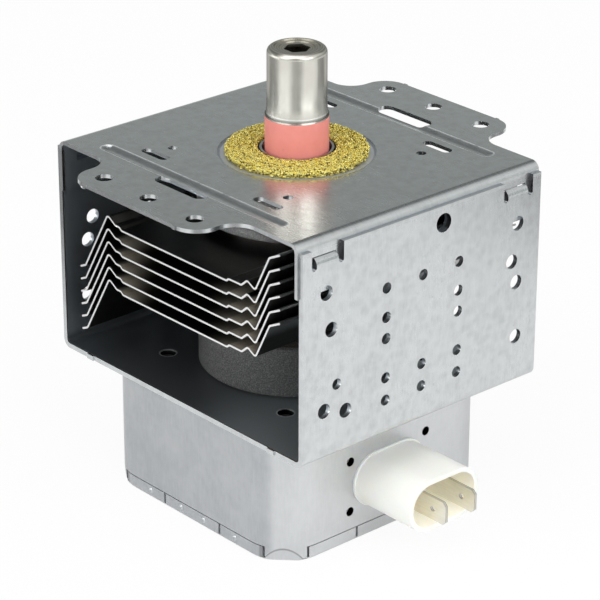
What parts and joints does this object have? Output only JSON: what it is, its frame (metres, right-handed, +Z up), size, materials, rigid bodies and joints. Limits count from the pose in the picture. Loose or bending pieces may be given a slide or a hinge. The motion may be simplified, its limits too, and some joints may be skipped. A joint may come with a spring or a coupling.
{
  "type": "microwave oven magnetron",
  "caption": "Oven magnetron: cavity tube between ring magnets in a folded steel yoke, bent cooling fins, capped antenna with mesh gasket, filter box with spade-tab connector.",
  "frame": {"origin": "on the antenna axis, in the plane of the mounting face (upper face of the top plate)", "axes": "+Z up the antenna, +X out of the side plate over the connector, -Y out of the open side that shows the fins in the picture"},
  "size_m": [0.1092, 0.1092, 0.1215],
  "materials": {
    "galvanised_steel": "satin zinc-coated sheet",
    "box_steel": "satin coated sheet",
    "fin_aluminium": "rolled sheet with bright cut edges",
    "copper": "plain copper",
    "ferrite": "dark sintered ferrite",
    "pole_iron": "plain soft iron",
    "shell_steel": "plated sheet",
    "pink_ceramic": "matte pink ceramic",
    "nickel_cap": "satin nickel",
    "brass_mesh": "knitted brass wire",
    "tungsten": "dark refractory metal",
    "tinned_metal": "tinned",
    "cream_plastic": "cream moulded plastic",
    "capacitor_ceramic": "brown ceramic",
    "choke_copper": "enamelled copper wire",
    "core_ferrite": "dark ferrite rod"
  },
  "bodies": {
    "root": {"upper_yoke": "galvanised_steel", "lower_yoke": "galvanised_steel", "filter_box": "box_steel", "filter_box_cover": "box_steel", "capacitor_plate": "box_steel", "cooling_fin_1": "fin_aluminium", "cooling_fin_2": "fin_aluminium", "cooling_fin_3": "fin_aluminium", "cooling_fin_4": "fin_aluminium", "cooling_fin_5": "fin_aluminium", "cooling_fin_6": "fin_aluminium", "anode_cylinder": "copper", "anode_vane_1": "copper", "anode_vane_2": "copper", "anode_vane_3": "copper", "anode_vane_4": "copper", "anode_vane_5": "copper", "anode_vane_6": "copper", "anode_vane_7": "copper", "anode_vane_8": "copper", "anode_vane_9": "copper", "anode_vane_10": "copper", "upper_inner_strap": "copper", "upper_outer_strap": "copper", "lower_inner_strap": "copper", "lower_outer_strap": "copper", "antenna_lead": "copper", "exhaust_tube": "copper", "upper_magnet": "ferrite", "lower_magnet": "ferrite", "upper_pole_piece": "pole_iron", "lower_pole_piece": "pole_iron", "upper_shell": "shell_steel", "lower_shell": "shell_steel", "antenna_ceramic": "pink_ceramic", "stem_ceramic": "pink_ceramic", "antenna_cap": "nickel_cap", "gasket": "brass_mesh", "filament": "tungsten", "upper_end_hat": "tungsten", "lower_end_hat": "tungsten", "centre_lead": "tungsten", "side_lead": "tungsten", "stem_terminal_1": "tinned_metal", "stem_terminal_2": "tinned_metal", "spade_terminal_1": "tinned_metal", "spade_terminal_2": "tinned_metal", "terminal_shroud": "cream_plastic", "capacitor_case": "cream_plastic", "capacitor_body": "capacitor_ceramic", "choke_coil_1": "choke_copper", "choke_coil_2": "choke_copper", "ferrite_core_1": "core_ferrite", "ferrite_core_2": "core_ferrite"}
  },
  "joints": []
}
